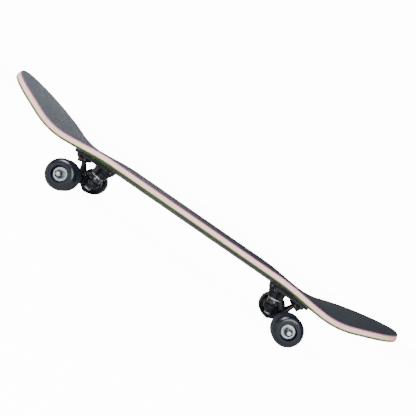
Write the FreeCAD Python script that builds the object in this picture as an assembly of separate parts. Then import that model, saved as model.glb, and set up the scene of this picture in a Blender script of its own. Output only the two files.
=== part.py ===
import FreeCAD, Part
import math
import os

# Skateboard: a pressed seven-ply deck with grip tape, two trucks with an inboard kingpin, and four urethane
# wheels on ball bearings. Millimetres, +Z up, ground at Z = 0, origin under the middle of the deck.
# The nose points to -X and the tail to +X. Seen by a rider facing the nose, left is -Y.

# ---- Deck ------------------------------------------------------------------------------------------------
deck_length = 808.0
deck_width = 200.0
ply_count = 7
ply_thickness = 1.57
grip_thickness = 0.8
nose = {"bend_start": 2.5, "bend_radius": 149.0, "angle": 20.75, "rounding": 116.0}
tail = {"bend_start": 9.5, "bend_radius": 149.0, "angle": 18.5, "rounding": 114.0}
bed_width = 60.0           # truly flat bed down the middle, from end to end of the two baseplates
bed_margin = 0.5           # bed beyond the baseplates; each bend starts bend_start beyond them
flat_width = 76.0          # nearly level strip, between the concave sides
side_rise = 8.1            # how far the rails stand above that strip between the trucks
side_rise_full = 160.0     # the rise is full up to here from the middle, and gone at side_rise_gone
side_rise_gone = 256.0
kick_rise = 2.4            # the shallower rise of the kicks' sides, full from kick_rise_full
kick_rise_full = 330.0
edge_round_height = 3.2    # rounded lower edge
edge_round_depth = 1.7
top_edge_height = 2.0      # eased upper edge
top_edge_depth = 0.7
edge_step = 0.8            # height of the steps that the rounded edge is made in
tip_flat_width = 6.0       # the oval ends are square over this width, which is level with the tip
rail_step = 14.0           # spacing of the rows of guide points between the oval ends
oval_step = 0.12           # turn from one row to the next round an oval end, in radians
side_step = 10.0           # spacing of the points of a row on the concave sides

# ---- Mounting hardware -----------------------------------------------------------------------------------
wheelbase = 362.0          # between the inner bolt rows
bolt_spacing_length = 53.975
bolt_spacing_width = 41.275
bolt_diameter = 4.83
bolt_length = 25.4
bolt_hole_clearance = 0.35
bolt_head_diameter = 9.5
bolt_head_height = 2.4
bolt_head_rim = 0.35
bolt_head_sink = 0.03      # bolt heads below the grip tape
bolt_thread_pitch = 0.79
bolt_thread_length = 12.0
mounting_nut_flats = 9.5
mounting_nut_height = 4.8
nut_pocket_clearance = 1.0

# ---- Truck -----------------------------------------------------------------------------------------------
riser_thickness = 3.0
truck_height = 42.6        # baseplate's top face down to the axle
axle_set_out = 8.75        # axle beyond the middle of the bolt pattern
baseplate_inner = 34.5     # baseplate ends, from the middle of the bolt pattern
baseplate_outer = 39.5
baseplate_width = 55.0
baseplate_thickness = 4.6
baseplate_corner = 9.0
kingpin_inset = 18.45      # kingpin axis inboard of the pattern's middle, at the baseplate's top face
kingpin_lean = 11.0
kingpin_diameter = 9.525
kingpin_head_flats = 14.3
kingpin_head_height = 5.5
kingpin_head_depth = 2.2
head_pocket_clearance = 0.4
kingpin_stand_out = 1.5
kingpin_thread_length = 14.0
coarse_pitch = 1.058
boss_top_radius = 19.5
boss_waist_radius = 18.2
boss_end_radius = 14.2
boss_length = 20.5
upper_washer_radius = 11.8
lower_washer_radius = 8.2
washer_thickness = 1.5
washer_rim = 1.3
upper_bushing_length = 12.0
upper_bushing_radius = 11.0
upper_bushing_barrel = 11.6
lower_bushing_length = 9.0
lower_bushing_radius = 10.8
bushing_bore_clearance = 0.15
bushing_seat_depth = 1.5
bushing_seat_clearance = 0.4
ring_web = 6.0             # hanger ring between its two bushing seats
ring_wall = 2.6
ring_bore_radius = 8.0
kingpin_nut_height = 6.5
pivot_out = 21.9           # centre of the pivot ball from the middle of the bolt pattern
pivot_depth = 9.7
pivot_lean = 65.0          # pivot stem above the horizontal
pivot_ball_radius = 4.6
pivot_seat_clearance = 0.05
pivot_neck_radius = 4.4
pivot_mouth = 4.5          # cup's mouth below the ball's centre
pivot_flare = 10.0
pivot_cup_wall = 2.5
housing_wall = 5.0
stem_length = 30.0
stem_root_radius = 9.0
hanger_width = 141.0
beam_radius = 9.0
beam_end_radius = 6.7
beam_straight = 24.0
beam_taper_end = 60.0
yoke_half_width = 38.0
yoke_thickness = 10.0
rib_thickness = 11.0

# ---- Axle, bearings and wheels ---------------------------------------------------------------------------
axle_diameter = 7.94
axle_thread_length = 11.0
axle_stand_out = 2.0
axle_nut_flats = 12.7
axle_nut_height = 6.5
speed_washer_radius = 5.7
speed_washer_thickness = 0.9
bearing_bore = 8.0
bearing_outer_diameter = 22.0
bearing_width = 7.0
ball_diameter = 3.969
ball_count = 7
race_clearance = 0.045
inner_land_radius = 6.05
outer_land_radius = 9.0
shield_seat_radius = 9.7
shield_thickness = 0.35
shield_inset = 0.3
shield_gap = 0.35
cage_half_width = 2.45
cage_wall = 1.5
spacer_length = 10.0
spacer_radius = 5.6
wheel_diameter = 52.0
wheel_width = 32.0
wheel_lip_radius = 8.6
wheel_recess_radius = 13.6
hub_bore_radius = 9.0

V = FreeCAD.Vector
UP = V(0, 0, 1)
ORIGIN = V(0, 0, 0)

wheel_radius = wheel_diameter / 2
baseplate_top = wheel_radius + truck_height
deck_underside = baseplate_top + riser_thickness
deck_thickness = ply_count * ply_thickness
board_thickness = deck_thickness + grip_thickness
truck_middle = (wheelbase + bolt_spacing_length) / 2
truck_end = truck_middle + baseplate_outer
bed_reach = truck_end + bed_margin
deck_half_width = deck_width / 2


# ---- Shared shapes ---------------------------------------------------------------------------------------
def profile_face(points):
    """Face in the XZ plane from (radius, height) points; a pair of points is an arc through its first."""
    edges = []
    here = V(points[0][0], 0, points[0][1])
    for item in points[1:] + points[:1]:
        if isinstance(item[0], tuple):
            middle, end = (V(r, 0, h) for r, h in item)
            edges.append(Part.Arc(here, middle, end).toShape())
        else:
            end = V(item[0], 0, item[1])
            edges.append(Part.LineSegment(here, end).toShape())
        here = end
    return Part.Face(Part.Wire(edges))


def turned(points):
    """Solid of revolution about Z from a (radius, height) profile."""
    return profile_face(points).revolve(ORIGIN, UP, 360)


def ring(inner, outer, low, high):
    """Plain turned ring."""
    return turned([(inner, low), (outer, low), (outer, high), (inner, high)])


def rod(radius, low, high):
    """Plain round bar along Z."""
    return Part.makeCylinder(radius, high - low, V(0, 0, low))


def laid(shape, point, direction):
    """The shape with its Z axis laid along a direction and its origin at a point."""
    moved = shape.copy()
    moved.Placement = FreeCAD.Placement(point, FreeCAD.Rotation(UP, direction)).multiply(shape.Placement)
    return moved


def thread_points(radius, low, high, pitch):
    """Profile points of the ridges of a thread, from its low end to its high end."""
    depth = 0.5 * pitch
    turns = int((high - low) / pitch)
    points = []
    for turn in range(turns):
        root = low + (turn + 0.5) * pitch
        points += [(radius, root - 0.45 * pitch), (radius - depth, root)]
    return points + [(radius, low + (turns - 0.05) * pitch)]


def hexagon(flats, low, high):
    """Hexagonal bar along Z."""
    corner = flats / math.sqrt(3)
    turns = [math.radians(60 * i) for i in range(7)]
    points = [V(corner * math.cos(turn), corner * math.sin(turn), low) for turn in turns]
    return Part.Face(Part.makePolygon(points)).extrude(V(0, 0, high - low))


def lock_nut(flats, height, bore):
    """Hexagonal nut with chamfered corners and a rounded locking collar on its far end."""
    corner = flats / math.sqrt(3)
    flat_part = 0.68 * height
    collar = 0.42 * flats
    chamfer = 0.5 * (corner - flats / 2)
    turned_form = turned([
        (0, 0), (flats / 2, 0), (corner, chamfer), (corner, flat_part - chamfer), (flats / 2, flat_part),
        (collar, flat_part + 0.3), (collar, height - 0.8), (collar - 0.8, height), (0, height),
    ])
    return hexagon(flats, 0, height).common(turned_form).cut(rod(bore, -1, height + 1))


def group(shapes):
    """Several separate solids kept together as one sub-part."""
    return Part.makeCompound(shapes)


# ---- Deck ------------------------------------------------------------------------------------------------
def end_lengths(end):
    """Where one end's bend starts and stops and its tip is, along the underside from the middle."""
    angle = math.radians(end["angle"])
    start = truck_end + end["bend_start"]
    stop = start + end["bend_radius"] * angle
    straight = (deck_length / 2 - start - end["bend_radius"] * math.sin(angle)) / math.cos(angle)
    return start, stop, stop + straight


def spine(s):
    """Point (x, z) and slope of the underside's centre line, s along it from the middle of the deck."""
    side = 1 if s > 0 else -1
    end = tail if s > 0 else nose
    start, stop, _ = end_lengths(end)
    radius = end["bend_radius"]
    slope = min(max(abs(s) - start, 0), stop - start) / radius
    beyond = max(abs(s) - stop, 0)
    x = min(abs(s), start) + radius * math.sin(slope) + beyond * math.cos(slope)
    z = radius * (1 - math.cos(slope)) + beyond * math.sin(slope)
    return side * x, z, side * slope


def ease(value, start, stop):
    """Smooth step from 0 at start to 1 at stop."""
    share = min(max((value - start) / (stop - start), 0), 1)
    return share * share * (3 - 2 * share)


def side_height(s, y):
    """How far the concave lifts the deck above its centre line."""
    share = max(abs(y) - flat_width / 2, 0) / (deck_half_width - flat_width / 2)
    middle = side_rise * (1 - ease(abs(s), side_rise_full, side_rise_gone))
    kick = kick_rise * ease(abs(s), side_rise_gone, kick_rise_full)
    return (middle + kick) * share * share


def deck_point(s, y, height):
    """Point of the deck a given height above its underside, square to the surface."""
    step = 0.01
    x, z, slope = spine(s)
    rise = side_height(s, y)
    lean_s = (side_height(s + step, y) - side_height(s - step, y)) / (2 * step)
    lean_y = (side_height(s, y + step) - side_height(s, y - step)) / (2 * step)
    length = math.sqrt(1 + lean_s ** 2 + lean_y ** 2)
    along = -lean_s / length * height
    across = -lean_y / length * height
    upward = rise + height / length
    return V(
        x + along * math.cos(slope) - upward * math.sin(slope),
        y + across,
        deck_underside + z + along * math.sin(slope) + upward * math.cos(slope),
    )


def spread(first, last, step):
    """Evenly spaced values from the first to the last, about a step apart."""
    count = math.ceil(abs(last - first) / step)
    return [first + (last - first) * i / count for i in range(count + 1)]


def oval_line(end, height):
    """Points (distance from the middle, y) round the oval end, from beside its tip to its widest place."""
    tip = end_lengths(end)[2]
    first_angle = math.asin(tip_flat_width / deck_width)
    return [oval_point(tip - end["rounding"], end["rounding"], angle, height)
            for angle in spread(first_angle, math.pi / 2, oval_step)]


def oval_point(start, length, angle, height):
    """Point of an oval end, stood in from the outline by the rounding of the edge."""
    ahead = math.cos(angle)
    across = math.sin(angle)
    slant = math.hypot(ahead / length, across / deck_half_width)
    inset = edge_inset(height)
    return (
        start + length * ahead - inset * ahead / length / slant,
        deck_half_width * across - inset * across / deck_half_width / slant,
    )


def edge_inset(height):
    """How far the rounded edge stands in from the outline at a height in the board."""
    low = max(edge_round_height - height, 0) / edge_round_height
    high = max(height - (board_thickness - top_edge_height), 0) / top_edge_height
    return edge_round_depth * low ** 2 + top_edge_depth * high ** 2


def deck_nets(height):
    """Guide points of the board at one height: three runs from nose to tail, each in three strips."""
    side = deck_half_width - edge_inset(height)
    nose_line = [(-s, y) for s, y in oval_line(nose, height)]
    tail_line = oval_line(tail, height)[::-1]
    runs = [
        nose_line + [(s, side) for s in spread(nose_line[-1][0], -bed_reach, rail_step)[1:]],
        [(s, side) for s in spread(-bed_reach, bed_reach, rail_step)],
        [(s, side) for s in spread(bed_reach, tail_line[0][0], rail_step)[:-1]] + tail_line,
    ]
    bed = bed_width / deck_width
    step = side_step / deck_half_width
    strips = [spread(-1, -bed, step), spread(-bed, bed, 2 * bed / 3), spread(bed, 1, step)]
    return [
        [[[deck_point(s, share * y, height) for share in strip] for s, y in run] for strip in strips]
        for run in runs
    ]


def knots(count):
    """Knots and multiplicities of an even cubic curve through its two end points."""
    return [4] + [1] * (count - 4) + [4], list(range(count - 2))


def smooth_surface(net):
    """Smooth surface that follows a net of points and ends on its border."""
    mults_u, knots_u = knots(len(net))
    mults_v, knots_v = knots(len(net[0]))
    surface = Part.BSplineSurface()
    surface.buildFromPolesMultsKnots(net, mults_u, mults_v, knots_u, knots_v, False, False, 3, 3)
    return surface.toShape()


def smooth_line(points):
    """Smooth line that follows the points, as the border of a smooth surface does."""
    mults, at = knots(len(points))
    curve = Part.BSplineCurve()
    curve.buildFromPolesMultsKnots(points, mults, at, False, 3)
    return curve.toShape()


def skin(nets):
    """Faces of the board at one height, the middle one being the flat bed."""
    faces = [smooth_surface(net) for run in nets for net in run]
    bed = nets[1][1]
    corners = [bed[0][0], bed[0][-1], bed[-1][-1], bed[-1][0], bed[0][0]]
    faces[4] = Part.Face(Part.makePolygon(corners))
    return faces


def outline(nets):
    """The twelve lines of the board's outline at one height."""
    lines = [net[0] for net in nets[0]] + [net[-1] for net in nets[-1]]
    for run in nets:
        lines += [[row[0] for row in run[0]], [row[-1] for row in run[-1]]]
    return [smooth_line(line) for line in lines]


def layer(low, high):
    """Solid of the board between two heights, its edge wall in steps that follow the rounding."""
    levels = [deck_nets(height) for height in spread(low, high, edge_step)]
    faces = skin(levels[0]) + skin(levels[-1])
    for below, above in zip(levels, levels[1:]):
        faces += [Part.makeRuledSurface(a, b) for a, b in zip(outline(below), outline(above))]
    shell = Part.makeShell(faces)
    shell.sewShape()
    solid = Part.Solid(shell)
    solid.fix(0.001, 0.001, 0.01)
    return solid


def bolt_places():
    """Middles of the eight mounting bolts, in plan."""
    return [
        (end * (truck_middle + i * bolt_spacing_length / 2), j * bolt_spacing_width / 2)
        for end in (-1, 1) for i in (-1, 1) for j in (-1, 1)
    ]


def bolt_cutter():
    """Countersunk hole of one mounting bolt, open at the top of the board."""
    top = deck_underside + board_thickness
    rim = top - bolt_head_sink - bolt_head_rim
    hole = bolt_diameter / 2 + bolt_hole_clearance
    head = bolt_head_diameter / 2
    cone_slope = (bolt_head_height - bolt_head_rim) / (head - bolt_diameter / 2)
    return turned([
        (0, baseplate_top - boss_length), (hole, baseplate_top - boss_length),
        (hole, rim - (head - hole) * cone_slope), (head, rim), (head, top + 1), (0, top + 1),
    ])


def make_deck():
    """The plies, bottom to top, and the grip tape, all cut to one outline and drilled for the trucks."""
    levels = [i * ply_thickness for i in range(ply_count + 1)] + [board_thickness]
    layers = [layer(low, high) for low, high in zip(levels, levels[1:])]
    for x, y in bolt_places():
        hole = bolt_cutter().translated(V(x, y, 0))
        layers = [piece.cut(hole) for piece in layers]
    names = [f"ply_{i + 1}" for i in range(ply_count)] + ["grip_tape"]
    return dict(zip(names, layers))


# ---- Mounting hardware -----------------------------------------------------------------------------------
def make_bolt():
    """Countersunk cross-recess bolt, its head level with Z = 0 and its shank below."""
    radius = bolt_diameter / 2
    head = bolt_head_diameter / 2
    threads = thread_points(radius, -bolt_length + 0.6, -bolt_length + bolt_thread_length, bolt_thread_pitch)
    bolt = turned([(0, -bolt_length), (radius - 0.6, -bolt_length)] + threads + [
        (radius, -bolt_head_height), (head, -bolt_head_rim), (head, 0), (0, 0),
    ])
    for turn in (0, 90):
        slot = Part.makeBox(5.2, 1.1, 1.9, V(-2.6, -0.55, -1.9))
        slot.rotate(ORIGIN, UP, turn)
        bolt = bolt.cut(slot)
    return bolt


def make_mounting_hardware():
    """The eight bolts and lock nuts that hold both trucks."""
    bolt_top = deck_underside + board_thickness - bolt_head_sink
    nut_seat = baseplate_top - baseplate_thickness
    nut = lock_nut(mounting_nut_flats, mounting_nut_height, bolt_diameter / 2)
    nut.rotate(ORIGIN, V(1, 0, 0), 180)
    return {
        "mounting_bolts": group([make_bolt().translated(V(x, y, bolt_top)) for x, y in bolt_places()]),
        "mounting_nuts": group([nut.translated(V(x, y, nut_seat)) for x, y in bolt_places()]),
    }


# ---- Truck -----------------------------------------------------------------------------------------------
# One truck is made about the middle of its bolt pattern, at the baseplate's top face, with +X away from the
# middle of the board. The rear truck is moved into place, and the front one is also turned half round.
lean = math.radians(kingpin_lean)
kingpin_top = V(-kingpin_inset, 0, 0)
kingpin_down = V(math.sin(lean), 0, -math.cos(lean))
head_seat = kingpin_head_depth + kingpin_head_height
upper_washer_end = boss_length + washer_thickness
ring_web_start = upper_washer_end + upper_bushing_length
ring_web_end = ring_web_start + ring_web
lower_bushing_end = ring_web_end + lower_bushing_length
lower_washer_end = lower_bushing_end + washer_thickness
kingpin_nut_end = lower_washer_end + kingpin_nut_height
ring_middle = kingpin_top + kingpin_down * (ring_web_start + ring_web / 2)
bushing_seat_radius = upper_bushing_barrel + bushing_seat_clearance
pivot_centre = V(pivot_out, 0, -pivot_depth)
pivot_up = V(math.cos(math.radians(pivot_lean)), 0, math.sin(math.radians(pivot_lean)))
cup_radius = pivot_ball_radius + pivot_seat_clearance + pivot_cup_wall
axle_middle = V(axle_set_out, 0, -truck_height)
plate_length = baseplate_outer + baseplate_inner


def on_kingpin(shape):
    """The shape moved so that its Z runs down the kingpin from the baseplate's top face."""
    return laid(shape, kingpin_top, kingpin_down)


def on_pivot(shape):
    """The shape moved so that its Z runs up the pivot stem through the pivot ball's centre."""
    return laid(shape, pivot_centre, pivot_up)


def rounded_plate(low, high):
    """Plate of the baseplate's outline between two heights."""
    plate = Part.makeBox(
        plate_length, baseplate_width, high - low, V(-baseplate_inner, -baseplate_width / 2, low))
    upright = [edge for edge in plate.Edges if edge.BoundBox.ZLength > 0.9 * (high - low)]
    return plate.makeFillet(baseplate_corner, upright)


def at_bolts(shape):
    """Copies of a shape at one truck's four mounting bolts."""
    return group([
        shape.translated(V(i * bolt_spacing_length / 2, j * bolt_spacing_width / 2, 0))
        for i in (-1, 1) for j in (-1, 1)
    ])


def truck_holes():
    """The four bolt holes of one truck."""
    return at_bolts(rod(bolt_diameter / 2 + bolt_hole_clearance, -boss_length, 2 * riser_thickness))


def make_baseplate():
    """Cast plate with a kingpin boss, a pivot housing, and pockets for the kingpin's head and the nuts."""
    boss = on_kingpin(turned([
        (0, -6), (boss_top_radius, -6), (boss_top_radius, 0),
        ((boss_waist_radius + 1.1, 2.2), (boss_waist_radius, baseplate_thickness + 0.3)),
        (boss_end_radius + 1.2, 0.6 * boss_length), (boss_end_radius, boss_length - 0.8),
        (boss_end_radius - 0.8, boss_length), (0, boss_length),
    ]))
    housing_radius = cup_radius + housing_wall
    housing = on_pivot(turned([
        (0, -pivot_mouth), (housing_radius - 1, -pivot_mouth), (housing_radius, 1 - pivot_mouth),
        (housing_radius, 2 * pivot_depth), (0, 2 * pivot_depth),
    ]))
    wide = 3 * plate_length
    above = Part.makeBox(wide, wide, plate_length, V(-wide / 2, -wide / 2, 0))
    body = rounded_plate(-baseplate_thickness, 0).fuse([boss, housing]).cut(above)
    nut_pocket = mounting_nut_flats / math.sqrt(3) + nut_pocket_clearance
    pockets = at_bolts(rod(nut_pocket, -boss_length, -baseplate_thickness))
    head_pocket = kingpin_head_flats / math.sqrt(3) + head_pocket_clearance
    cuts = [
        truck_holes(), pockets,
        on_kingpin(rod(head_pocket, -6, head_seat)),
        on_kingpin(rod(kingpin_diameter / 2, 0, boss_length + 1)),
        pivot_cup_form(),
    ]
    for cutter in cuts:
        body = body.cut(cutter)
    return body


def pivot_cup_form():
    """Outer shape of the pivot cup, which its pocket in the baseplate repeats."""
    return on_pivot(turned([
        (0, -pivot_mouth), (cup_radius, -pivot_mouth), (cup_radius, 2.5),
        (0.62 * cup_radius, cup_radius - 0.8), (0, cup_radius - 0.8),
    ]))


def make_pivot_cup():
    """Moulded cup that the pivot ball turns in, its mouth flared to let the stem swing."""
    seat = pivot_ball_radius + pivot_seat_clearance
    mouth = seat + (pivot_mouth + 1) * math.tan(math.radians(pivot_flare))
    hollow = turned([
        (0, -pivot_mouth - 1), (mouth, -pivot_mouth - 1), (seat, 0),
        ((seat * math.sqrt(0.5), seat * math.sqrt(0.5)), (0, seat)),
    ])
    return pivot_cup_form().cut(on_pivot(hollow))


def make_kingpin():
    """Hex-headed bolt set in the baseplate from above, threaded at its lower end."""
    radius = kingpin_diameter / 2
    end = kingpin_nut_end + kingpin_stand_out
    corner = kingpin_head_flats / math.sqrt(3)
    head = hexagon(kingpin_head_flats, kingpin_head_depth, head_seat).common(turned([
        (0, kingpin_head_depth), (kingpin_head_flats / 2, kingpin_head_depth),
        (corner, kingpin_head_depth + 0.6), (corner, head_seat), (0, head_seat),
    ]))
    threads = thread_points(radius, end - kingpin_thread_length, end - 0.8, coarse_pitch)
    shank = turned([(0, head_seat - 1), (radius, head_seat - 1)] + threads + [(radius - 0.8, end), (0, end)])
    return on_kingpin(head.fuse(shank))


def cup_washer(radius, start, rim_side):
    """Pressed washer with a rim round the bushing, on the given side of its plate."""
    bore = kingpin_diameter / 2
    plate = ring(bore, radius, start, start + washer_thickness)
    rim_start = start + washer_thickness if rim_side > 0 else start - washer_rim
    rim = ring(radius - 1, radius, rim_start, rim_start + washer_rim)
    return on_kingpin(plate.fuse(rim).removeSplitter())


def make_bushings():
    """Upper barrel and lower cone of urethane, each with a neck that clears its washer's rim."""
    bore = kingpin_diameter / 2 + bushing_bore_clearance
    neck_upper = upper_washer_radius - 1 - bushing_bore_clearance
    low = upper_washer_end
    high = ring_web_start
    upper = turned([
        (bore, low), (neck_upper - 0.6, low), (neck_upper, low + 0.6), (neck_upper, low + washer_rim + 0.3),
        ((upper_bushing_barrel, (low + high) / 2), (upper_bushing_radius, high)), (bore, high),
    ])
    low = ring_web_end
    high = lower_bushing_end
    neck_lower = lower_washer_radius - 1 - bushing_bore_clearance
    lower = turned([
        (bore, low), (lower_bushing_radius, low), (lower_bushing_radius, low + bushing_seat_depth),
        (neck_lower, high - washer_rim - 0.3), (neck_lower, high), (bore, high),
    ])
    return on_kingpin(upper), on_kingpin(lower)


def make_hanger():
    """Cast hanger: axle beam, kingpin ring, yoke and rib between them, and the stem with its pivot ball."""
    half = hanger_width / 2
    beam = turned([
        (0, -half), (beam_end_radius - 0.8, -half), (beam_end_radius, 0.8 - half),
        (beam_end_radius, -beam_taper_end), (beam_radius, -beam_straight), (beam_radius, beam_straight),
        (beam_end_radius, beam_taper_end), (beam_end_radius, half - 0.8),
        (beam_end_radius - 0.8, half), (0, half),
    ])
    beam = laid(beam, axle_middle, V(0, 1, 0))
    outer = bushing_seat_radius + ring_wall
    low = ring_web_start - bushing_seat_depth
    high = ring_web_end + bushing_seat_depth
    collar = on_kingpin(turned([
        (0, low), (outer - 1.2, low), (outer, low + 1.2), (outer, high - 1.2), (outer - 1.2, high), (0, high),
    ]))
    stem = on_pivot(turned([
        (0, -stem_length), (stem_root_radius, -stem_length), (stem_root_radius, 4 - stem_length),
        ((pivot_neck_radius + 1.2, -0.5 * stem_length), (pivot_neck_radius, -pivot_mouth)),
        (pivot_neck_radius, -2), (0, -2),
    ]))
    ball = Part.makeSphere(pivot_ball_radius, pivot_centre)
    to_axle = axle_middle - ring_middle
    reach = to_axle.Length
    ahead = V(to_axle.x / reach, 0, to_axle.z / reach)
    square = V(-ahead.z, 0, ahead.x)
    corners = [(0, outer - 1), (0.75 * reach, yoke_half_width), (reach + 2, yoke_half_width + 3)]
    loop = corners + [(u, -v) for u, v in reversed(corners)]
    points = [ring_middle + ahead * u + V(0, v, 0) - square * (yoke_thickness / 2) for u, v in loop]
    yoke = Part.Face(Part.makePolygon(points + points[:1])).extrude(square * yoke_thickness)
    rib_points = [
        ring_middle, ring_middle - kingpin_down * (ring_web / 2),
        pivot_centre - pivot_up * (0.5 * stem_length), axle_middle + V(beam_radius / 2, 0, 0), axle_middle,
    ]
    rib_points = [point - V(0, rib_thickness / 2, 0) for point in rib_points]
    rib = Part.Face(Part.makePolygon(rib_points + rib_points[:1])).extrude(V(0, rib_thickness, 0))
    body = beam.fuse([collar, stem, ball, yoke, rib])
    cuts = [
        rod(ring_bore_radius, low - 1, high + 1),
        rod(bushing_seat_radius, boss_length, ring_web_start),
        rod(bushing_seat_radius - 0.5, ring_web_end, kingpin_nut_end + 5),
    ]
    for cutter in cuts:
        body = body.cut(on_kingpin(cutter))
    return body.cut(laid(rod(axle_diameter / 2, -half - 1, half + 1), axle_middle, V(0, 1, 0)))


inner_bearing = hanger_width / 2 + speed_washer_thickness
outer_bearing = inner_bearing + bearing_width + spacer_length
outer_washer = outer_bearing + bearing_width
axle_nut_place = outer_washer + speed_washer_thickness
axle_end = axle_nut_place + axle_nut_height + axle_stand_out
wheel_middle = inner_bearing + bearing_width + spacer_length / 2


def both_ends(shape):
    """A piece of the axle's +Z end, laid along the axle at both of its ends."""
    return [laid(shape, axle_middle, V(0, side, 0)) for side in (-1, 1)]


def make_axle():
    """Steel axle pressed through the hanger, threaded at both ends."""
    radius = axle_diameter / 2
    half = turned(
        [(0, 0), (radius, 0)]
        + thread_points(radius, axle_end - axle_thread_length, axle_end - 0.8, coarse_pitch)
        + [(radius - 0.8, axle_end), (0, axle_end)]
    )
    one, other = both_ends(half)
    return one.fuse(other).removeSplitter()


def make_axle_fittings():
    """Nuts, speed washers, bearing spacers and the bearings' inner rings, all clamped on the axle."""
    bore = bearing_bore / 2
    washers = []
    for place in (hanger_width / 2, outer_washer):
        washers += both_ends(ring(bore, speed_washer_radius, place, place + speed_washer_thickness))
    nut = lock_nut(axle_nut_flats, axle_nut_height, axle_diameter / 2).translated(V(0, 0, axle_nut_place))
    spacer = ring(bore, spacer_radius, inner_bearing + bearing_width, outer_bearing)
    inner_rings = []
    for place in (inner_bearing, outer_bearing):
        inner_rings += both_ends(bearing_ring(inner=True).translated(V(0, 0, place)))
    return {
        "axle_nuts": group(both_ends(nut)),
        "speed_washers": group(washers),
        "bearing_spacers": group(both_ends(spacer)),
        "bearing_inner_rings": group(inner_rings),
    }


def make_truck():
    """Every piece of one truck but its wheels, by name."""
    upper, lower = make_bushings()
    nut = lock_nut(kingpin_head_flats, kingpin_nut_height, kingpin_diameter / 2)
    pieces = {
        "riser_pad": rounded_plate(0, riser_thickness).cut(truck_holes()),
        "baseplate": make_baseplate(),
        "pivot_cup": make_pivot_cup(),
        "kingpin": make_kingpin(),
        "upper_cup_washer": cup_washer(upper_washer_radius, boss_length, 1),
        "upper_bushing": upper,
        "lower_bushing": lower,
        "lower_cup_washer": cup_washer(lower_washer_radius, lower_bushing_end, -1),
        "kingpin_nut": on_kingpin(nut.translated(V(0, 0, lower_washer_end))),
        "hanger": make_hanger(),
        "axle": make_axle(),
    }
    pieces.update(make_axle_fittings())
    return pieces


# ---- Bearings and wheels ---------------------------------------------------------------------------------
ball_pitch_radius = (bearing_bore + bearing_outer_diameter) / 4
race_radius = ball_diameter / 2 + race_clearance


def bearing_ring(inner):
    """Inner or outer ring of one ball bearing, from Z = 0 to its width."""
    middle = bearing_width / 2
    if inner:
        body = ring(bearing_bore / 2, inner_land_radius, 0, bearing_width)
    else:
        body = ring(outer_land_radius, bearing_outer_diameter / 2, 0, bearing_width)
        seat = shield_inset + shield_thickness
        for low in (0, bearing_width - seat):
            body = body.cut(rod(shield_seat_radius, low, low + seat))
    race = Part.makeTorus(ball_pitch_radius, race_radius, V(0, 0, middle))
    return body.cut(race)


def make_shields():
    """The pair of pressed shields that close one bearing."""
    far = bearing_width - shield_inset - shield_thickness
    return [
        ring(inner_land_radius + shield_gap, shield_seat_radius, low, low + shield_thickness)
        for low in (shield_inset, far)
    ]


def make_balls():
    """The balls of one bearing."""
    turns = [2 * math.pi * i / ball_count for i in range(ball_count)]
    centres = [
        V(ball_pitch_radius * math.cos(turn), ball_pitch_radius * math.sin(turn), bearing_width / 2)
        for turn in turns
    ]
    return [Part.makeSphere(ball_diameter / 2, centre) for centre in centres]


def make_cage():
    """Ring with a round pocket for each ball."""
    middle = bearing_width / 2
    body = ring(
        ball_pitch_radius - cage_wall / 2, ball_pitch_radius + cage_wall / 2,
        middle - cage_half_width, middle + cage_half_width)
    for i in range(ball_count):
        turn = 2 * math.pi * i / ball_count
        outward = V(math.cos(turn), math.sin(turn), 0)
        body = body.cut(Part.makeCylinder(race_radius, bearing_outer_diameter / 2, V(0, 0, middle), outward))
    return body


def make_tyre():
    """Cast urethane wheel about its own middle, with a seat for a bearing in each side."""
    half = wheel_width / 2
    lip = wheel_lip_radius
    lip_middle = lip * math.sqrt(0.5)
    seat = spacer_length / 2 + bearing_width
    bearing_radius = bearing_outer_diameter / 2
    return turned([
        (hub_bore_radius, -spacer_length / 2), (bearing_radius, -spacer_length / 2), (bearing_radius, -seat),
        (wheel_recess_radius, -half), (wheel_radius - lip, -half),
        ((wheel_radius - lip + lip_middle, lip - half - lip_middle), (wheel_radius, lip - half)),
        (wheel_radius, half - lip),
        ((wheel_radius - lip + lip_middle, half - lip + lip_middle), (wheel_radius - lip, half)),
        (wheel_recess_radius, half), (bearing_radius, seat),
        (bearing_radius, spacer_length / 2), (hub_bore_radius, spacer_length / 2),
    ])


def make_wheel():
    """Every piece that turns with one wheel, laid along Z from the truck's middle."""
    places = [V(0, 0, inner_bearing), V(0, 0, outer_bearing)]
    return {
        "wheel": make_tyre().translated(V(0, 0, wheel_middle)),
        "bearing_outer_rings": group([bearing_ring(inner=False).translated(place) for place in places]),
        "bearing_shields": group([shield.translated(place) for place in places for shield in make_shields()]),
        "bearing_balls": group([ball.translated(place) for place in places for ball in make_balls()]),
        "bearing_cages": group([make_cage().translated(place) for place in places]),
    }


# ---- Assembly --------------------------------------------------------------------------------------------
def placed(shape, end):
    """A piece of the truck moved to the front or the rear of the board."""
    moved = shape.copy()
    if end == "front":
        moved.rotate(ORIGIN, UP, 180)
        moved.translate(V(-truck_middle, 0, baseplate_top))
    else:
        moved.translate(V(truck_middle, 0, baseplate_top))
    return moved


def make_all():
    """Every sub-part of the skateboard by name."""
    parts = make_deck()
    parts.update(make_mounting_hardware())
    truck = make_truck()
    wheel = make_wheel()
    for end, axle_x in (("front", -truck_middle - axle_set_out), ("rear", truck_middle + axle_set_out)):
        for name, shape in truck.items():
            parts[f"{end}_{name}"] = placed(shape, end)
        for hand, side in (("left", -1), ("right", 1)):
            for name, shape in wheel.items():
                parts[f"{end}_{hand}_{name}"] = laid(shape, V(axle_x, 0, wheel_radius), V(0, side, 0))
    return parts


os.makedirs("parts", exist_ok=True)
for name, shape in make_all().items():
    shape.exportStep(f"parts/{name}.step")
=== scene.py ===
import math

import bmesh
import bpy
from mathutils import Matrix, Vector


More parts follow.
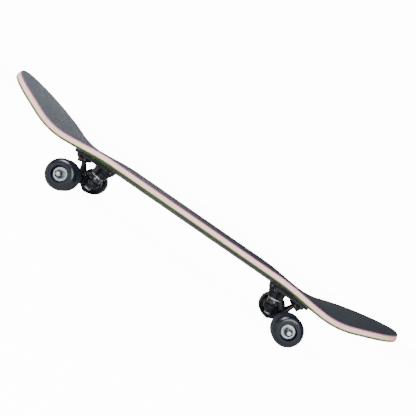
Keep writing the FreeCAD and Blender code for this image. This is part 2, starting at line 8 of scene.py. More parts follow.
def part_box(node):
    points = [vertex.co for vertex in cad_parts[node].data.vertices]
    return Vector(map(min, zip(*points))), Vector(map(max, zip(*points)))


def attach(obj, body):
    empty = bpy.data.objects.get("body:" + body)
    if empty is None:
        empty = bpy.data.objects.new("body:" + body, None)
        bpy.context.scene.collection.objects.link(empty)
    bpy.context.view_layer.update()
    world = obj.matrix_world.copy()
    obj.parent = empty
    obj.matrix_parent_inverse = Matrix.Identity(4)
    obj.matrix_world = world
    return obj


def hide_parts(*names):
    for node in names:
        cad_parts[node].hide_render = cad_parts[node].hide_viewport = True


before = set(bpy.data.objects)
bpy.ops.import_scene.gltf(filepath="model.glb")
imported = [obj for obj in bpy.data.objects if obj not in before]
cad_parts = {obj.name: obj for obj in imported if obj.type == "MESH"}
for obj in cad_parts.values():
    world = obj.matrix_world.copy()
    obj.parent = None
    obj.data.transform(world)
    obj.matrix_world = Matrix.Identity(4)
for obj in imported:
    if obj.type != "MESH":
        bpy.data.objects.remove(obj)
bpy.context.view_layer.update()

ENDS = ("front", "rear")
WHEELS = [f"{end}_{hand}" for end in ENDS for hand in ("left", "right")]


# ---- Maple plies -----------------------------------------------------------------------------------------
# Seven rotary-cut maple veneers pressed into one board, the grain of one of them running across.
# The outline is sanded, so the edge shows bare fibres, thin glue lines and a little handling dirt.
def put(tree, kind, inputs=(), **settings):
    """Adds a node to a tree, with its settings, and its inputs as values or as sockets to link."""
    node = tree.nodes.new("ShaderNode" + kind)
    for setting, value in settings.items():
        setattr(node, setting, value)
    for socket, value in dict(inputs).items():
        if isinstance(value, bpy.types.NodeSocket):
            tree.links.new(value, node.inputs[socket])
        else:
            node.inputs[socket].default_value = value
    return node


def ramp(tree, value, *stops):
    """A colour ramp over a value, from (place, grey or colour) stops."""
    node = put(tree, "ValToRGB", {"Fac": value})
    elements = node.color_ramp.elements
    while len(elements) < len(stops):
        elements.new(0.5)
    for element, (place, tone) in zip(elements, stops):
        element.position = place
        element.color = (tone, tone, tone, 1) if isinstance(tone, (int, float)) else (*tone, 1)
    return node.outputs["Color"]


def blended(tree, share, under, over):
    """One colour laid over another by a share."""
    node = put(tree, "Mix", data_type="RGBA", blend_type="MIX")
    for socket, value in ((0, share), (6, under), (7, over)):
        if isinstance(value, bpy.types.NodeSocket):
            tree.links.new(value, node.inputs[socket])
        else:
            node.inputs[socket].default_value = (*value, 1) if isinstance(value, tuple) else value
    return node.outputs[2]


def worked(tree, operation, first, second=0.0, third=0.0, clamp=False):
    """The result of one sum on two values, or on three where the operation takes a third."""
    node = put(tree, "Math", {0: first, 1: second, 2: third}, operation=operation, use_clamp=clamp)
    return node.outputs[0]


def effect(name, inputs, outputs):
    """A new shader node group with named sockets. Returns it with its input and output nodes."""
    tree = bpy.data.node_groups.new(name, "ShaderNodeTree")
    for label, kind, value in inputs:
        socket = tree.interface.new_socket(label, in_out="INPUT", socket_type="NodeSocket" + kind)
        socket.default_value = value
    for label, kind in outputs:
        tree.interface.new_socket(label, in_out="OUTPUT", socket_type="NodeSocket" + kind)
    return tree, tree.nodes.new("NodeGroupInput").outputs, tree.nodes.new("NodeGroupOutput").inputs


def placed_effect(tree, group, **values):
    """A shared effect put into a material with its own values."""
    node = put(tree, "Group", node_tree=group)
    for label, value in values.items():
        socket = node.inputs[label.replace("_", " ")]
        if isinstance(value, bpy.types.NodeSocket):
            tree.links.new(value, socket)
        else:
            socket.default_value = value
    return node.outputs


def finish(name, **fixed):
    """A new material with its shader, and plain values set on the shader's own sockets."""
    material = bpy.data.materials.new(name)
    material.use_nodes = True
    tree = material.node_tree
    shader = tree.nodes["Principled BSDF"]
    for label, value in fixed.items():
        shader.inputs[label.replace("_", " ")].default_value = value
    return material, tree, shader


def wire(tree, shader, height=None, strength=0.3, distance=0.0002, **sockets):
    """Links colours and values into the shader, and a height through a bump."""
    for label, value in sockets.items():
        tree.links.new(value, shader.inputs[label.replace("_", " ")])
    if height is not None:
        bump = put(tree, "Bump", {"Height": height, "Strength": strength, "Distance": distance})
        tree.links.new(bump.outputs[0], shader.inputs["Normal"])


def paint(names, material):
    """Gives CAD nodes their material."""
    for name in names:
        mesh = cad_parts[name].data
        mesh.materials.clear()
        mesh.materials.append(material)


def make_fibres():
    """Fibres drawn out by a stretch per axis, with darker vessels among them."""
    tree, given, out = effect(
        "maple_fibres",
        [("Stretch", "Vector", (10, 500, 500)), ("Vessels", "Float", 0.4)],
        [("Shade", "Float"), ("Vessel", "Float"), ("Height", "Float")],
    )
    place = put(tree, "TexCoord").outputs["Object"]
    drawn = put(tree, "VectorMath", {0: place, 1: given["Stretch"]}, operation="MULTIPLY").outputs[0]
    fine = put(tree, "TexNoise", {"Vector": drawn, "Scale": 6.0, "Detail": 5.0,
                                  "Roughness": 0.65}).outputs["Fac"]
    broad = put(tree, "TexNoise", {"Vector": place, "Scale": 14.0, "Detail": 2.0}).outputs["Fac"]
    pores = put(tree, "TexNoise", {"Vector": drawn, "Scale": 17.0, "Detail": 2.0}).outputs["Fac"]
    vessel = worked(tree, "MULTIPLY", ramp(tree, pores, (0.58, 0.0), (0.7, 1.0)), given["Vessels"])
    shade = worked(tree, "MULTIPLY_ADD", fine, 0.7, worked(tree, "MULTIPLY", broad, 0.3))
    tree.links.new(shade, out["Shade"])
    tree.links.new(vessel, out["Vessel"])
    tree.links.new(worked(tree, "SUBTRACT", fine, vessel), out["Height"])
    return tree


fibres = make_fibres()


def make_handling_dirt():
    """Patchy grime, stronger where hands and shoes rub."""
    tree, given, out = effect(
        "handling_dirt",
        [("Patch Scale", "Float", 30.0), ("Cover", "Float", 0.4)],
        [("Mask", "Float")],
    )
    place = put(tree, "TexCoord").outputs["Object"]
    patches = put(tree, "TexNoise", {"Vector": place, "Scale": given["Patch Scale"], "Detail": 6.0,
                                     "Roughness": 0.7}).outputs["Fac"]
    start = worked(tree, "SUBTRACT", 0.85, given["Cover"])
    spread = worked(tree, "SUBTRACT", patches, start)
    tree.links.new(worked(tree, "MULTIPLY", spread, 3.5, clamp=True), out["Mask"])
    return tree


handling_dirt = make_handling_dirt()


def make_border():
    """Mask of a line of a given width along every sharp outer edge of a piece."""
    tree, given, out = effect("border_line", [("Width", "Float", 0.0004)], [("Mask", "Float")])
    rounded = put(tree, "Bevel", {"Radius": given["Width"]}, samples=6).outputs[0]
    true_normal = put(tree, "NewGeometry").outputs["Normal"]
    turn = put(tree, "VectorMath", {0: rounded, 1: true_normal}, operation="DOT_PRODUCT").outputs["Value"]
    tree.links.new(ramp(tree, turn, (0.82, 1.0), (0.985, 0.0)), out["Mask"])
    return tree


border_line = make_border()

LONG_GRAIN = (8.0, 260.0, 260.0)
CROSS_GRAIN = (420.0, 12.0, 420.0)
MAPLE_LIGHT = (1.0, 0.91, 0.7)
MAPLE_DARK = (0.93, 0.76, 0.52)
VESSEL_BROWN = (0.5, 0.3, 0.18)
GLUE_TAN = (0.4, 0.17, 0.09)
GLUE_LINE = 0.0007


def maple(name, stretch, light, dark, dirt=0.3):
    """Sanded veneer edge: fibres, vessels, uneven tone and some dirt."""
    material, tree, shader = finish(name, Coat_Roughness=0.35, Specular_IOR_Level=0.35)
    grain = placed_effect(tree, fibres, Stretch=stretch, Vessels=0.55)
    wood = blended(tree, grain["Shade"], dark, light)
    wood = blended(tree, worked(tree, "MULTIPLY", grain["Vessel"], 0.5), wood, VESSEL_BROWN)
    glue = placed_effect(tree, border_line, Width=GLUE_LINE)["Mask"]
    wood = blended(tree, worked(tree, "MULTIPLY", glue, 0.75), wood, GLUE_TAN)
    grime = placed_effect(tree, handling_dirt, Patch_Scale=22.0, Cover=dirt)["Mask"]
    colour = blended(tree, worked(tree, "MULTIPLY", grime, 0.35), wood, (0.3, 0.22, 0.15))
    rough = worked(tree, "MULTIPLY_ADD", grain["Shade"], 0.2, 0.45)
    wire(tree, shader, grain["Height"], 0.35, 0.00015, Base_Color=colour, Roughness=rough)
    return material


plain_maple = maple("plain_maple", LONG_GRAIN, MAPLE_LIGHT, MAPLE_DARK)
cross_maple = maple("cross_maple", CROSS_GRAIN, (0.82, 0.58, 0.4), (0.62, 0.4, 0.26))
warm_maple = maple("warm_maple", LONG_GRAIN, (0.88, 0.66, 0.47), (0.7, 0.46, 0.31))
paint(["ply_4", "ply_6"], plain_maple)
paint(["ply_3"], cross_maple)
paint(["ply_5"], warm_maple)


# ---- Stained outer plies ---------------------------------------------------------------------------------
# The bottom veneer is dyed green and printed with broad black shapes, and the top one is dyed pink.
# Both are lacquered, and the bottom is scuffed by slides along the length of the board.
def make_stained(name, stain_light, stain_dark, printed, coat):
    """Dyed veneer under lacquer, with or without the black print and its slide scratches."""
    material, tree, shader = finish(name, Coat_Weight=coat, Coat_Roughness=0.12, Specular_IOR_Level=0.5)
    grain = placed_effect(tree, fibres, Stretch=LONG_GRAIN, Vessels=0.8)
    colour = blended(tree, grain["Shade"], stain_dark, stain_light)
    colour = blended(tree, grain["Vessel"], colour, tuple(0.3 * tone for tone in stain_dark))
    rough = worked(tree, "MULTIPLY_ADD", grain["Shade"], 0.25, 0.3)
    height = grain["Height"]
    if printed:
        place = put(tree, "TexCoord").outputs["Object"]
        across = put(tree, "Mapping", {"Vector": place, "Scale": (7.0, 5.0, 2.0),
                                       "Location": (1.9, 0.4, 0.0)})
        shapes = put(tree, "TexNoise", {"Vector": across.outputs[0], "Scale": 1.5, "Detail": 1.5,
                                        "Distortion": 1.4}).outputs["Fac"]
        ink = ramp(tree, shapes, (0.5, 0.0), (0.515, 1.0))
        split = put(tree, "SeparateXYZ", {0: place})
        middle = worked(tree, "ABSOLUTE", worked(tree, "ADD", split.outputs["X"], 0.012))
        band = ramp(tree, worked(tree, "MULTIPLY", middle, 10.0), (0.2, 1.0), (0.26, 0.0))
        ink = worked(tree, "MAXIMUM", ink, band)
        colour = blended(tree, worked(tree, "MULTIPLY", ink, 0.93), colour, (0.006, 0.007, 0.006))
        drawn = put(tree, "Mapping", {"Vector": place, "Scale": (3.0, 260.0, 40.0)}).outputs[0]
        lines = put(tree, "TexNoise", {"Vector": drawn, "Scale": 4.0, "Detail": 4.0}).outputs["Fac"]
        scratch = ramp(tree, lines, (0.66, 0.0), (0.72, 1.0))
        worn = placed_effect(tree, handling_dirt, Patch_Scale=9.0, Cover=0.36)["Mask"]
        scratch = worked(tree, "MULTIPLY", scratch, worn)
        colour = blended(tree, worked(tree, "MULTIPLY", scratch, 0.7), colour, (0.5, 0.42, 0.26))
        rough = worked(tree, "ADD", rough, worked(tree, "MULTIPLY", worn, 0.25))
        height = worked(tree, "SUBTRACT", height, scratch)
    wire(tree, shader, height, 0.3, 0.00012, Base_Color=colour, Roughness=rough)
    return material


paint(["ply_1"], make_stained("green_stained_ply", (0.015, 0.058, 0.008), (0.006, 0.026, 0.004), True, 0.2))
paint(["ply_2"], make_stained("second_green_ply", (0.028, 0.09, 0.007), (0.014, 0.05, 0.004), False, 0.1))
paint(["ply_7"], make_stained("pink_stained_ply", (0.85, 0.12, 0.42), (0.62, 0.05, 0.26), False, 0.1))


# ---- Grip tape -------------------------------------------------------------------------------------------
# One sheet of black grit cloth stuck over the top and trimmed flush with a blade, so its edge is
# pale and frayed. Shoes have dusted it and polished some grains, and light is painted onto it towards one
# tip.
def make_grip():
    """Black grit with glinting grains, dust in patches, painted light towards one tip, and a pale cut edge.
    """
    material, tree, shader = finish("grip_tape", Specular_IOR_Level=0.3)
    place = put(tree, "TexCoord").outputs["Object"]
    cells = put(tree, "TexVoronoi", {"Vector": place, "Scale": 1500.0, "Randomness": 1.0})
    tone = put(tree, "SeparateColor", {0: cells.outputs["Color"]}).outputs[0]
    glint = ramp(tree, tone, (0.8, 0.0), (0.97, 1.0))
    fine = put(tree, "TexNoise", {"Vector": place, "Scale": 2600.0, "Detail": 2.0}).outputs["Fac"]
    base = blended(tree, fine, (0.0018, 0.0036, 0.0064), (0.0068, 0.0125, 0.02))
    base = blended(tree, worked(tree, "MULTIPLY", glint, 0.5), base, (0.055, 0.075, 0.1))
    dust = placed_effect(tree, handling_dirt, Patch_Scale=11.0, Cover=0.42)["Mask"]
    base = blended(tree, worked(tree, "MULTIPLY", dust, 0.08), base, (0.12, 0.15, 0.18))
    split = put(tree, "SeparateXYZ", {0: place}).outputs
    # Painted light: the grit is lifted towards a paler blue-grey near the tip at negative X, standing in for
    # the key lamp's light falling there.
    painted_nose_light = ramp(tree, worked(tree, "MULTIPLY", split["X"], -2.0), (0.42, 0.0), (0.8, 1.0))
    base = blended(tree, worked(tree, "MULTIPLY", painted_nose_light, 0.22), base, (0.23, 0.29, 0.36))
    rounded = put(tree, "Bevel", {"Radius": 0.0011}, samples=4).outputs[0]
    true_normal = put(tree, "NewGeometry").outputs["Normal"]
    turn = put(tree, "VectorMath", {0: rounded, 1: true_normal}, operation="DOT_PRODUCT").outputs["Value"]
    rim = ramp(tree, turn, (0.86, 1.0), (0.99, 0.0))
    frayed = worked(tree, "MULTIPLY", rim, worked(tree, "ADD", fine, 0.2, clamp=True))
    base = blended(tree, worked(tree, "MULTIPLY", frayed, 0.55), base, (0.4, 0.45, 0.5))
    rough = ramp(tree, tone, (0.0, 0.85), (0.8, 0.7), (0.95, 0.32))
    slope = worked(tree, "MULTIPLY", cells.outputs["Distance"], 1400.0, clamp=True)
    rise = worked(tree, "SUBTRACT", 1.0, slope)
    wire(tree, shader, worked(tree, "ADD", rise, fine), 0.75, 0.0003, Base_Color=base, Roughness=rough)
    return material


paint(["grip_tape"], make_grip())


# ---- Mounting bolts and lock nuts ------------------------------------------------------------------------
# Eight countersunk steel bolts, black zinc plated, drawn down into the grip by lock nuts under the
# baseplates. The drive recesses and the nut corners are rubbed to bare metal.
def make_bare_edges():
    """Mask of the outer edges where plating or paint has rubbed off."""
    tree, given, out = effect(
        "bare_edges",
        [("Width", "Float", 0.0004), ("Break Up", "Float", 900.0)],
        [("Mask", "Float")],
    )
    rounded = put(tree, "Bevel", {"Radius": given["Width"]}, samples=4).outputs[0]
    true_normal = put(tree, "NewGeometry").outputs["Normal"]
    turn = put(tree, "VectorMath", {0: rounded, 1: true_normal}, operation="DOT_PRODUCT").outputs["Value"]
    rim = ramp(tree, turn, (0.84, 1.0), (0.985, 0.0))
    place = put(tree, "TexCoord").outputs["Object"]
    chips = put(tree, "TexNoise", {"Vector": place, "Scale": given["Break Up"], "Detail": 3.0}).outputs["Fac"]
    tree.links.new(worked(tree, "MULTIPLY", rim, ramp(tree, chips, (0.42, 0.0), (0.62, 1.0))), out["Mask"])
    return tree


bare_edges = make_bare_edges()


def make_settled_dust():
    """Dust lying in broken patches on whatever faces up."""
    tree, given, out = effect(
        "settled_dust",
        [("Patch Scale", "Float", 60.0), ("Amount", "Float", 0.5)],
        [("Mask", "Float")],
    )
    coords = put(tree, "TexCoord").outputs
    up = put(tree, "SeparateXYZ", {0: coords["Normal"]}).outputs["Z"]
    facing = ramp(tree, up, (0.1, 0.15), (0.9, 1.0))
    patches = put(tree, "TexNoise", {"Vector": coords["Object"], "Scale": given["Patch Scale"], "Detail": 5.0,
                                     "Roughness": 0.68}).outputs["Fac"]
    cover = worked(tree, "MULTIPLY", ramp(tree, patches, (0.4, 0.0), (0.7, 1.0)), facing)
    tree.links.new(worked(tree, "MULTIPLY", cover, given["Amount"]), out["Mask"])
    return tree


settled_dust = make_settled_dust()


def make_machined():
    """Fine tool marks at a given scale, as a height and a roughness shade."""
    tree, given, out = effect(
        "tool_marks",
        [("Mark Scale", "Float", 900.0)],
        [("Height", "Float"), ("Shade", "Float")],
    )
    place = put(tree, "TexCoord").outputs["Object"]
    marks = put(tree, "TexNoise", {"Vector": place, "Scale": given["Mark Scale"],
                                   "Detail": 4.0}).outputs["Fac"]
    blotch = put(tree, "TexNoise", {"Vector": place, "Scale": 140.0, "Detail": 3.0}).outputs["Fac"]
    tree.links.new(marks, out["Height"])
    tree.links.new(worked(tree, "ADD", worked(tree, "MULTIPLY", marks, 0.5),
                          worked(tree, "MULTIPLY", blotch, 0.5)), out["Shade"])
    return tree


tool_marks = make_machined()


def steel(name, bright, dull, bare, smooth, dust=0.12):
    """Steel with tool marks, a blotchy finish, bare edges and a little dust."""
    material, tree, shader = finish(name, Metallic=1.0)
    marks = placed_effect(tree, tool_marks, Mark_Scale=1100.0)
    colour = blended(tree, marks["Shade"], dull, bright)
    edge = placed_effect(tree, bare_edges, Width=0.00035, Break_Up=1200.0)["Mask"]
    colour = blended(tree, edge, colour, bare)
    grime = placed_effect(tree, settled_dust, Patch_Scale=180.0, Amount=dust)["Mask"]
    colour = blended(tree, grime, colour, (0.2, 0.19, 0.17))
    rough = worked(tree, "MULTIPLY_ADD", marks["Shade"], 0.3, smooth)
    rough = worked(tree, "ADD", rough, worked(tree, "MULTIPLY", grime, 0.5), clamp=True)
    wire(tree, shader, marks["Height"], 0.12, 0.00006, Base_Color=colour, Roughness=rough)
    return material


black_zinc = steel("black_zinc_steel", (0.05, 0.06, 0.08), (0.015, 0.018, 0.026), (0.42, 0.43, 0.44), 0.22)
paint(["mounting_bolts", "mounting_nuts"], black_zinc)


# ---- Riser pads ------------------------------------------------------------------------------------------
# Moulded black rubber pads between the baseplates and the deck, with a fine pebbled skin that
# has picked up dust at its edges.
def make_rubber(name, tone, pebble, dust):
    """Matt moulded rubber or urethane with a pebbled skin."""
    material, tree, shader = finish(name, Specular_IOR_Level=0.4)
    place = put(tree, "TexCoord").outputs["Object"]
    skin = put(tree, "TexNoise", {"Vector": place, "Scale": pebble, "Detail": 4.0}).outputs["Fac"]
    colour = blended(tree, skin, tuple(0.6 * part for part in tone), tone)
    grime = placed_effect(tree, settled_dust, Patch_Scale=90.0, Amount=dust)["Mask"]
    colour = blended(tree, grime, colour, (0.19, 0.18, 0.165))
    rough = worked(tree, "MULTIPLY_ADD", skin, 0.25, 0.42)
    wire(tree, shader, skin, 0.25, 0.00012, Base_Color=colour, Roughness=rough)
    return material


paint([f"{end}_riser_pad" for end in ENDS], make_rubber("black_rubber", (0.016, 0.017, 0.02), 1600.0, 0.35))


# ---- Baseplates ------------------------------------------------------------------------------------------
# Die-cast alloy plates painted satin black: softened edges, a faintly lumpy skin, and bare chips
# where the paint has rubbed through.
def make_cast_black():
    """Satin black paint on a cast skin, chipped at the edges and dusty on top."""
    material, tree, shader = finish(
        "black_cast_alloy", Coat_Weight=0.12, Coat_Roughness=0.22, Specular_IOR_Level=0.4)
    place = put(tree, "TexCoord").outputs["Object"]
    lumps = put(tree, "TexNoise", {"Vector": place, "Scale": 260.0, "Detail": 5.0,
                                   "Roughness": 0.6}).outputs["Fac"]
    speck = put(tree, "TexNoise", {"Vector": place, "Scale": 1800.0, "Detail": 2.0}).outputs["Fac"]
    colour = blended(tree, lumps, (0.0008, 0.0015, 0.0034), (0.0026, 0.0048, 0.0095))
    chip = placed_effect(tree, bare_edges, Width=0.0006, Break_Up=420.0)["Mask"]
    chip = worked(tree, "MULTIPLY", chip, 0.22)
    colour = blended(tree, chip, colour, (0.3, 0.31, 0.33))
    grime = placed_effect(tree, settled_dust, Patch_Scale=75.0, Amount=0.22)["Mask"]
    colour = blended(tree, grime, colour, (0.07, 0.07, 0.07))
    rough = worked(tree, "MULTIPLY_ADD", lumps, 0.28, 0.2)
    rough = worked(tree, "ADD", rough, worked(tree, "MULTIPLY", grime, 0.6), clamp=True)
    height = worked(tree, "ADD", lumps, worked(tree, "MULTIPLY", speck, 0.35))
    metal = worked(tree, "MULTIPLY", chip, 0.9)
    wire(tree, shader, height, 0.4, 0.00025, Base_Color=colour, Roughness=rough, Metallic=metal)
    return material


cast_black = make_cast_black()


CAST_VOXEL = 0.0005


def cast_piece(node, body, rounds):
    """The node's shape with the softened edges and fillets that a casting has, riding on its body."""
    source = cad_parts[node]
    piece = bpy.data.objects.new(f"{node}_casting", source.data.copy())
    bpy.context.scene.collection.objects.link(piece)
    form = bmesh.new()
    form.from_mesh(piece.data)
    bmesh.ops.remove_doubles(form, verts=form.verts, dist=0.00001)
    form.to_mesh(piece.data)
    form.free()
    remesh = piece.modifiers.new("even_skin", "REMESH")
    remesh.mode = "VOXEL"
    remesh.voxel_size = CAST_VOXEL
    remesh.use_smooth_shade = True
    soften = piece.modifiers.new("softened_edges", "SMOOTH")
    soften.factor = 0.5
    soften.iterations = rounds
    bpy.context.view_layer.update()
    shaped = bpy.data.meshes.new_from_object(piece.evaluated_get(bpy.context.evaluated_depsgraph_get()))
    piece.modifiers.clear()
    piece.data = shaped
    piece.data.materials.clear()
    piece.data.materials.append(cast_black)
    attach(piece, body)
    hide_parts(node)
    return piece


for end in ENDS:
    cast_piece(f"{end}_baseplate", "board", rounds=3)


# ---- Pivot cups ------------------------------------------------------------------------------------------
# Black urethane cups pressed in the baseplates' housings, in which the hanger's pivot turns.
pivot_rubber = make_rubber("pivot_cup_urethane", (0.012, 0.012, 0.014), 1200.0, 0.1)
paint([f"{end}_pivot_cup" for end in ENDS], pivot_rubber)


# ---- Kingpins and kingpin nuts ---------------------------------------------------------------------------
# Hardened steel bolts through boss, bushings and hanger ring, with a lock nut that sets how
# stiffly the truck turns. Both are plated black.
paint([f"{end}_{piece}" for end in ENDS for piece in ("kingpin", "kingpin_nut")], black_zinc)


# ---- Cup washers -----------------------------------------------------------------------------------------
# Pressed steel cups, zinc plated, that hold the ends of the bushings.
zinc = steel("zinc_plated_steel", (0.62, 0.66, 0.7), (0.3, 0.34, 0.38), (0.78, 0.8, 0.82), 0.16, dust=0.3)
paint([f"{end}_{side}_cup_washer" for end in ENDS for side in ("upper", "lower")], zinc)


# ---- Bushings --------------------------------------------------------------------------------------------
# Cast urethane barrel and cone, black, glossy where they are moulded, that squeeze as the
# truck leans.
def make_bushing_urethane():
    """Dense black urethane with a soft gloss, faint swirls and dust."""
    material, tree, shader = finish(
        "black_urethane", Specular_IOR_Level=0.6, Coat_Weight=0.3, Coat_Roughness=0.15)
    place = put(tree, "TexCoord").outputs["Object"]
    swirl = put(tree, "TexNoise", {"Vector": place, "Scale": 170.0, "Detail": 3.0,
                                   "Distortion": 0.8}).outputs["Fac"]
    colour = blended(tree, swirl, (0.006, 0.008, 0.014), (0.02, 0.026, 0.036))
    grime = placed_effect(tree, settled_dust, Patch_Scale=130.0, Amount=0.2)["Mask"]
    colour = blended(tree, grime, colour, (0.06, 0.062, 0.066))
    rough = worked(tree, "MULTIPLY_ADD", swirl, 0.2, 0.16)
    rough = worked(tree, "ADD", rough, worked(tree, "MULTIPLY", grime, 0.6), clamp=True)
    wire(tree, shader, swirl, 0.15, 0.0002, Base_Color=colour, Roughness=rough)
    return material


paint([f"{end}_{side}_bushing" for end in ENDS for side in ("upper", "lower")], make_bushing_urethane())


# ---- Hangers ---------------------------------------------------------------------------------------------
# One alloy casting each: axle beam, kingpin ring, yoke and pivot stem, blended into each other
# with generous fillets and painted like the baseplates.
for end in ENDS:
    cast_piece(f"{end}_hanger", f"{end}_hanger", rounds=4)


# ---- Axles, nuts and washers -----------------------------------------------------------------------------
# Plain steel axles through the beams with threaded ends, black lock nuts, bright speed washers
# and spacers that the bearings are clamped between.
bright_steel = steel("bright_steel", (0.78, 0.8, 0.8), (0.5, 0.52, 0.53), (0.85, 0.86, 0.86), 0.1, dust=0.05)
paint([f"{end}_axle" for end in ENDS], bright_steel)
paint([f"{end}_axle_nuts" for end in ENDS], black_zinc)
paint([f"{end}_{piece}" for end in ENDS for piece in ("speed_washers", "bearing_spacers")], zinc)


# ---- Ball bearings ---------------------------------------------------------------------------------------
# Ground steel rings and balls with pressed shields, which carry the circular marks of their
# pressing and a film of oily dust, and a moulded cage for the balls.
bearing_steel = steel(
    "bearing_steel", (0.6, 0.62, 0.64), (0.36, 0.38, 0.4), (0.75, 0.76, 0.77), 0.08, dust=0.1)
paint([f"{end}_bearing_inner_rings" for end in ENDS], bearing_steel)
for piece in ("bearing_outer_rings", "bearing_balls"):
    paint([f"{wheel}_{piece}" for wheel in WHEELS], bearing_steel)


def make_shield(centre, name):
    """Pressed bright shield with circular marks round its own wheel's axle."""
    material, tree, shader = finish(name, Metallic=0.9)
    place = put(tree, "TexCoord").outputs["Object"]
    away = put(tree, "VectorMath", {0: place, 1: centre}, operation="SUBTRACT").outputs[0]
    flat = put(tree, "VectorMath", {0: away, 1: (1, 0, 1)}, operation="MULTIPLY").outputs[0]
    radius = put(tree, "VectorMath", {0: flat}, operation="LENGTH").outputs["Value"]
    outward = worked(tree, "MULTIPLY", radius, 5200.0)
    rings = put(tree, "TexNoise", {"W": outward, "Scale": 1.0, "Detail": 2.0},
                noise_dimensions="1D").outputs["Fac"]
    colour = blended(tree, rings, (0.34, 0.44, 0.47), (0.62, 0.72, 0.75))
    grime = placed_effect(tree, handling_dirt, Patch_Scale=260.0, Cover=0.36)["Mask"]
    colour = blended(tree, worked(tree, "MULTIPLY", grime, 0.5), colour, (0.05, 0.05, 0.045))
    rough = worked(tree, "MULTIPLY_ADD", rings, 0.2, 0.2)
    wire(tree, shader, rings, 0.2, 0.00005, Base_Color=colour, Roughness=rough)
    return material


def wheel_centre(wheel):
    """Middle of one wheel."""
    low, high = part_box(f"{wheel}_wheel")
    return (Vector(low) + Vector(high)) / 2


for wheel in WHEELS:
    paint([f"{wheel}_bearing_shields"], make_shield(wheel_centre(wheel), f"{wheel}_shield_steel"))

cage_nylon = make_rubber("cage_nylon", (0.4, 0.37, 0.3), 900.0, 0.05)
paint([f"{wheel}_bearing_cages" for wheel in WHEELS], cage_nylon)


# ---- Wheels ----------------------------------------------------------------------------------------------
# Solid cast urethane, black with a blue cast, turned on a lathe: fine rings on the sides, a tread
# scuffed matt with grit pressed in it, and painted shade darkening the hollow round the bearing.
RECESS_RADIUS = 0.0138
RING_FINENESS = 2600.0


def make_wheel_urethane(wheel):
    """Lathe-turned urethane: glossy shoulders and sides, worn tread, painted shade round the bearing seat."""
    centre = wheel_centre(wheel)
    material, tree, shader = finish(f"{wheel}_urethane", Specular_IOR_Level=0.35, Coat_Roughness=0.16)
    place = put(tree, "TexCoord").outputs["Object"]
    away = put(tree, "VectorMath", {0: place, 1: centre}, operation="SUBTRACT").outputs[0]
    flat = put(tree, "VectorMath", {0: away, 1: (1, 0, 1)}, operation="MULTIPLY").outputs[0]
    radius = put(tree, "VectorMath", {0: flat}, operation="LENGTH").outputs["Value"]
    sideways = worked(tree, "ABSOLUTE", put(tree, "SeparateXYZ", {0: away}).outputs["Y"])
    outward = worked(tree, "MULTIPLY", radius, RING_FINENESS)
    along = worked(tree, "MULTIPLY", sideways, RING_FINENESS)
    turned = worked(tree, "ADD", outward, along)
    rings = put(tree, "TexNoise", {"W": turned, "Scale": 1.0, "Detail": 3.0},
                noise_dimensions="1D").outputs["Fac"]
    cloud = put(tree, "TexNoise", {"Vector": place, "Scale": 55.0, "Detail": 4.0}).outputs["Fac"]
    colour = blended(tree, cloud, (0.0008, 0.0026, 0.0072), (0.0018, 0.0055, 0.014))
    outer = worked(tree, "SUBTRACT", radius, 0.0225)
    outer = worked(tree, "MULTIPLY", outer, 420.0, clamp=True)
    middle = worked(tree, "SUBTRACT", 0.0125, sideways)
    middle = worked(tree, "MULTIPLY", middle, 260.0, clamp=True)
    tread = worked(tree, "MULTIPLY", outer, middle)
    grit = put(tree, "TexNoise", {"Vector": place, "Scale": 620.0, "Detail": 5.0,
                                  "Roughness": 0.7}).outputs["Fac"]
    worn = worked(tree, "MULTIPLY", tread, ramp(tree, grit, (0.3, 0.35), (0.62, 1.0)))
    colour = blended(tree, worked(tree, "MULTIPLY", worn, 0.4), colour, (0.03, 0.034, 0.04))
    # Painted shade: the hollow inside RECESS_RADIUS is darkened in colour, standing in for the shade that
    # falls round the bearing.
    painted_recess_shade = worked(tree, "SUBTRACT", RECESS_RADIUS, radius)
    painted_recess_shade = worked(tree, "MULTIPLY", painted_recess_shade, 3000.0, clamp=True)
    colour = blended(tree, worked(tree, "MULTIPLY", painted_recess_shade, 0.85), colour, (0.0012, 0.0018, 0.0032))
    grime = placed_effect(tree, handling_dirt, Patch_Scale=120.0, Cover=0.33)["Mask"]
    colour = blended(tree, worked(tree, "MULTIPLY", grime, 0.1), colour, (0.1, 0.11, 0.12))
    rough = worked(tree, "ADD", worked(tree, "MULTIPLY", cloud, 0.16), 0.2)
    rough = worked(tree, "ADD", rough, worked(tree, "MULTIPLY", worn, 0.42), clamp=True)
    height = worked(tree, "ADD", worked(tree, "MULTIPLY", rings, 0.35), worked(tree, "MULTIPLY", worn, grit))
    coat = worked(tree, "SUBTRACT", 0.22, worked(tree, "MULTIPLY", worn, 0.22), clamp=True)
    wire(tree, shader, height, 0.3, 0.00018, Base_Color=colour, Roughness=rough, Coat_Weight=coat)
    return material


for wheel in WHEELS:
    paint([f"{wheel}_wheel"], make_wheel_urethane(wheel))


# ---- Floor, light and camera -----------------------------------------------------------------------------
# A plain pale studio: white floor, broad soft lights above the nose and to the viewer's side.
FLOOR_HALF = 30.0
FLOOR_GLOW = 13.0
BACKDROP_GLOW = 14.0
SOFT_FILL = 0.24
floor_mesh = bpy.data.meshes.new("studio_floor")
floor_mesh.from_pydata(
    [(-FLOOR_HALF, -FLOOR_HALF, 0), (FLOOR_HALF, -FLOOR_HALF, 0), (FLOOR_HALF, FLOOR_HALF, 0),
     (-FLOOR_HALF, FLOOR_HALF, 0)], [], [(0, 1, 2, 3)])
floor = bpy.data.objects.new("studio_floor", floor_mesh)
bpy.context.scene.collection.objects.link(floor)
floor_white, tree, shader = finish("floor_white", Roughness=0.9)
speckle = put(tree, "TexNoise", {"Scale": 40.0, "Detail": 2.0}).outputs["Fac"]
wire(tree, shader, Base_Color=blended(tree, speckle, (0.78, 0.78, 0.78), (0.8, 0.8, 0.8)))
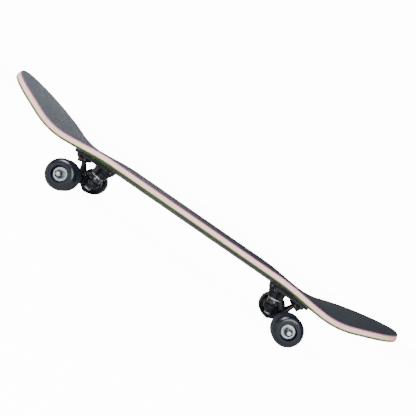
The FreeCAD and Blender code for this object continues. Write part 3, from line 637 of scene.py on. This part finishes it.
seen = put(tree, "LightPath").outputs["Is Camera Ray"]
glow = put(tree, "Emission", {"Color": (1, 1, 1, 1), "Strength": worked(tree, "MULTIPLY", seen, FLOOR_GLOW)})
both = put(tree, "AddShader", {0: shader.outputs[0], 1: glow.outputs[0]})
tree.links.new(both.outputs[0], tree.nodes["Material Output"].inputs["Surface"])
floor_mesh.materials.append(floor_white)

world = bpy.data.worlds.new("studio")
world.use_nodes = True
tree = world.node_tree
backdrop = tree.nodes["Background"]
backdrop.inputs["Color"].default_value = (1, 1, 1, 1)
seen = put(tree, "LightPath").outputs["Is Camera Ray"]
brightness = put(tree, "Math", {0: seen, 1: BACKDROP_GLOW, 2: SOFT_FILL}, operation="MULTIPLY_ADD")
tree.links.new(brightness.outputs[0], backdrop.inputs["Strength"])
bpy.context.scene.world = world

LIGHT_AIM = Vector((0, 0, 0.08))
for label, place, size, power in (
    ("key_light", (-1.3, -1.3, 1.6), 1.3, 78.0),
    ("side_light", (0.5, -2.1, 0.75), 1.4, 46.0),
    ("rim_light", (-0.5, 1.6, 1.3), 1.0, 14.0),
):
    lamp = bpy.data.lights.new(label, "AREA")
    lamp.shape = "DISK"
    lamp.size = size
    lamp.energy = power
    light = bpy.data.objects.new(label, lamp)
    bpy.context.scene.collection.objects.link(light)
    light.location = place
    light.rotation_euler = (LIGHT_AIM - Vector(place)).to_track_quat("-Z", "Y").to_euler()

CAMERA_PLACE = (0.0114, -0.723, 0.1181)
ROLL = math.radians(34.685)
lens = bpy.data.cameras.new("view")
lens.sensor_width = 36.0
lens.lens = 34.74
lens.shift_x = -0.0135
lens.shift_y = 0.0017
camera = bpy.data.objects.new("view", lens)
bpy.context.scene.collection.objects.link(camera)
right = Vector((math.cos(ROLL), 0, math.sin(ROLL)))
upward = Vector((-math.sin(ROLL), 0, math.cos(ROLL)))
facing = Matrix((right, upward, right.cross(upward))).transposed()
camera.matrix_world = Matrix.Translation(CAMERA_PLACE) @ facing.to_4x4()
bpy.context.scene.camera = camera
